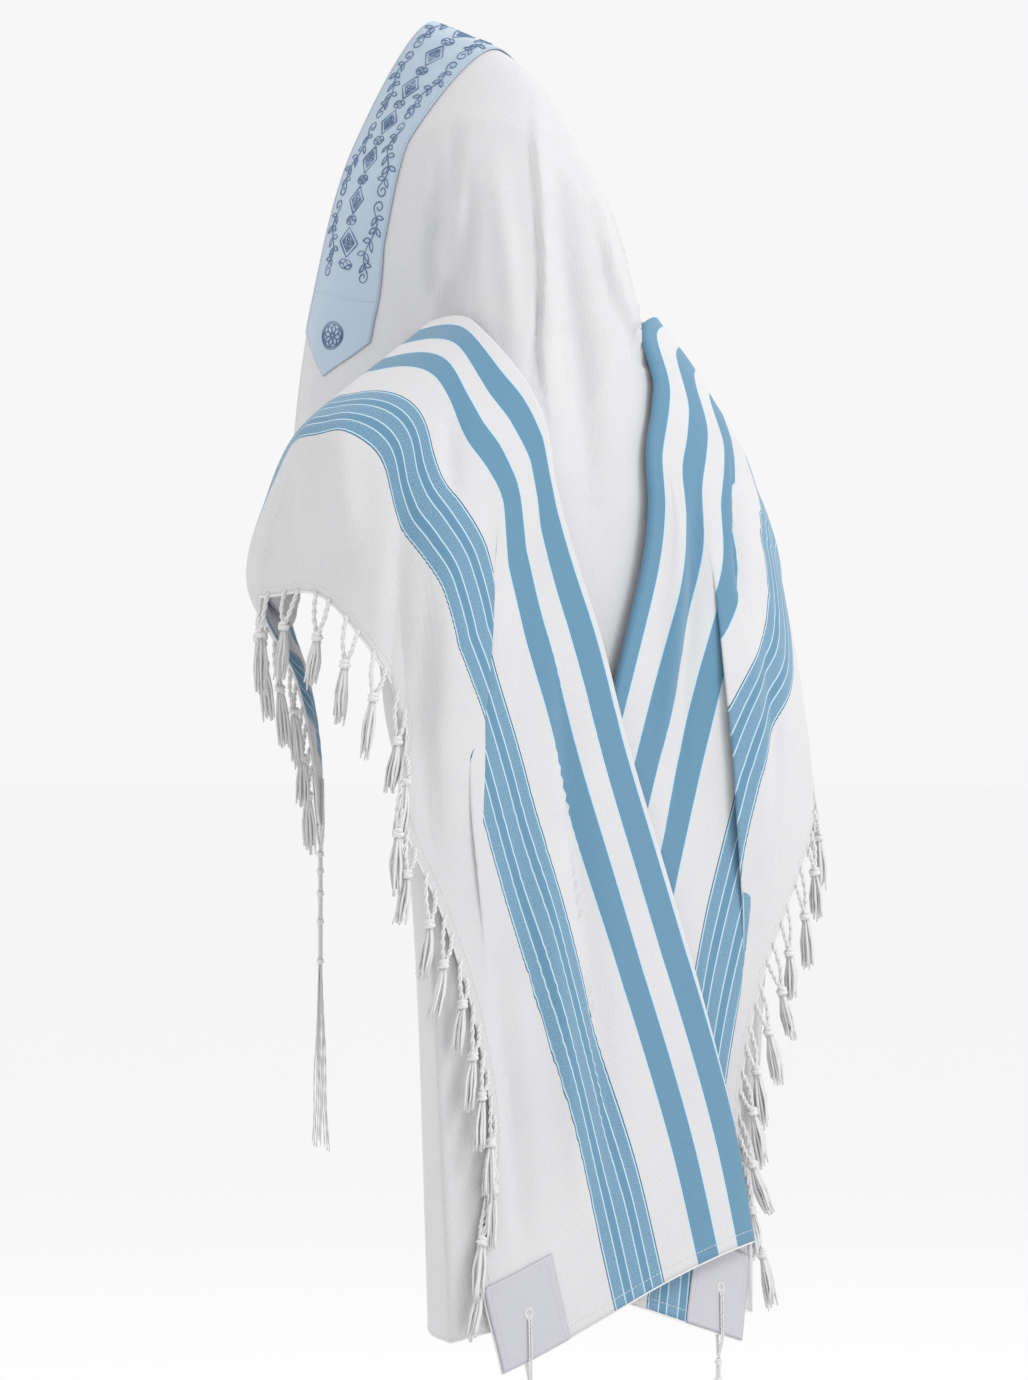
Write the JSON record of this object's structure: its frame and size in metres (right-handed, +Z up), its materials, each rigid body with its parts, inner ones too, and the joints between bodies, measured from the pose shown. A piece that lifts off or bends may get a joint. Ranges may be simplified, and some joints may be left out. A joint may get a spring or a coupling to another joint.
{
  "type": "tallit prayer shawl worn over the head",
  "caption": "Large white striped prayer shawl draped over the head as a hood, with both sides folded back over the shoulders, a satin neckband, knotted fringe and corner cords.",
  "frame": {"origin": "crown of the head, where the cloth rests on it", "axes": "+Z up, the wearer faces -Y, the wearer's left is +X"},
  "size_m": [0.6703, 0.4526, 1.7062],
  "materials": {
    "wool": "matt woven wool with blue stripes",
    "satin": "pale blue satin",
    "cord": "twisted white cord"
  },
  "bodies": {
    "root": {"hood_and_back": "wool", "left_wing": "wool", "right_wing": "wool", "neckband": "satin", "corner_patch_left_back": "satin", "corner_patch_left_front": "satin", "corner_patch_right_back": "satin", "corner_patch_right_front": "satin", "fringe_left": "cord", "fringe_right": "cord", "tzitzit_left_back": "cord", "tzitzit_left_front": "cord", "tzitzit_right_back": "cord", "tzitzit_right_front": "cord"}
  },
  "joints": []
}
